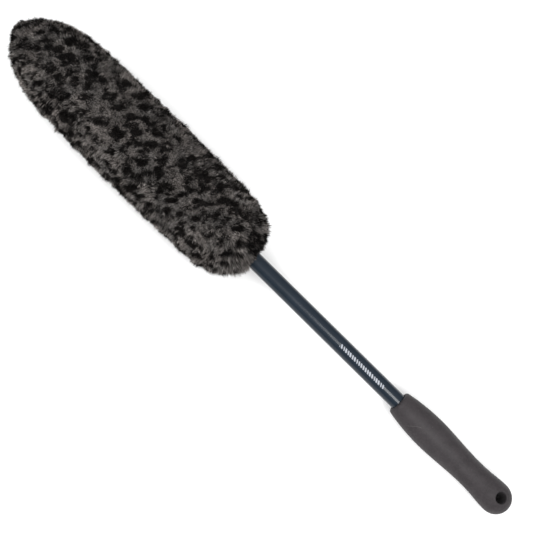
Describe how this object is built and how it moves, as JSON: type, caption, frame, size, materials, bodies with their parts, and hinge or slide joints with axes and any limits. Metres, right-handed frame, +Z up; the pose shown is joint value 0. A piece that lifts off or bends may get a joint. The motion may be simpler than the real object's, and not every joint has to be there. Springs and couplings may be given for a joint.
{
  "type": "wheel brush",
  "caption": "Long wheel cleaning brush: soft grey and black plush head on a flexible spine, slim blue-grey shaft tube, waisted dark grey soft grip with a hanging hole.",
  "frame": {"origin": "on the surface that the brush lies on, under the middle of its bounding box", "axes": "+X from the handle towards the tip of the head along the surface, +Z up; the brush's own axis rises 4.42 degrees towards the tip, because the head is thicker than the handle and both rest on the surface, and the hanging hole runs upright through the handle"},
  "size_m": [0.4786, 0.0672, 0.0758],
  "materials": {
    "grip_rubber": "matte",
    "core_plastic": "matte",
    "tube_coat": "satin",
    "pin_steel": "satin",
    "collar_plastic": "matte",
    "spine_nylon": "satin",
    "tie_nylon": "satin",
    "tape_fabric": "matte",
    "knit_fabric": "matte",
    "pile_fibre": "matte",
    "foam": "matte",
    "cap_rubber": "matte"
  },
  "bodies": {
    "root": {"handle_grip": "grip_rubber", "handle_core": "core_plastic", "handle_pin": "pin_steel", "tube_plug": "core_plastic", "shaft_tube": "tube_coat", "neck_collar": "collar_plastic", "neck_pin": "pin_steel", "neck_tie": "tie_nylon", "hem_tape": "tape_fabric", "knit_backing": "knit_fabric", "pile_cover": "pile_fibre", "foam_sleeve": "foam", "foam_nose": "foam", "spine_cap": "cap_rubber", "flexible_spine": "spine_nylon"}
  },
  "joints": []
}
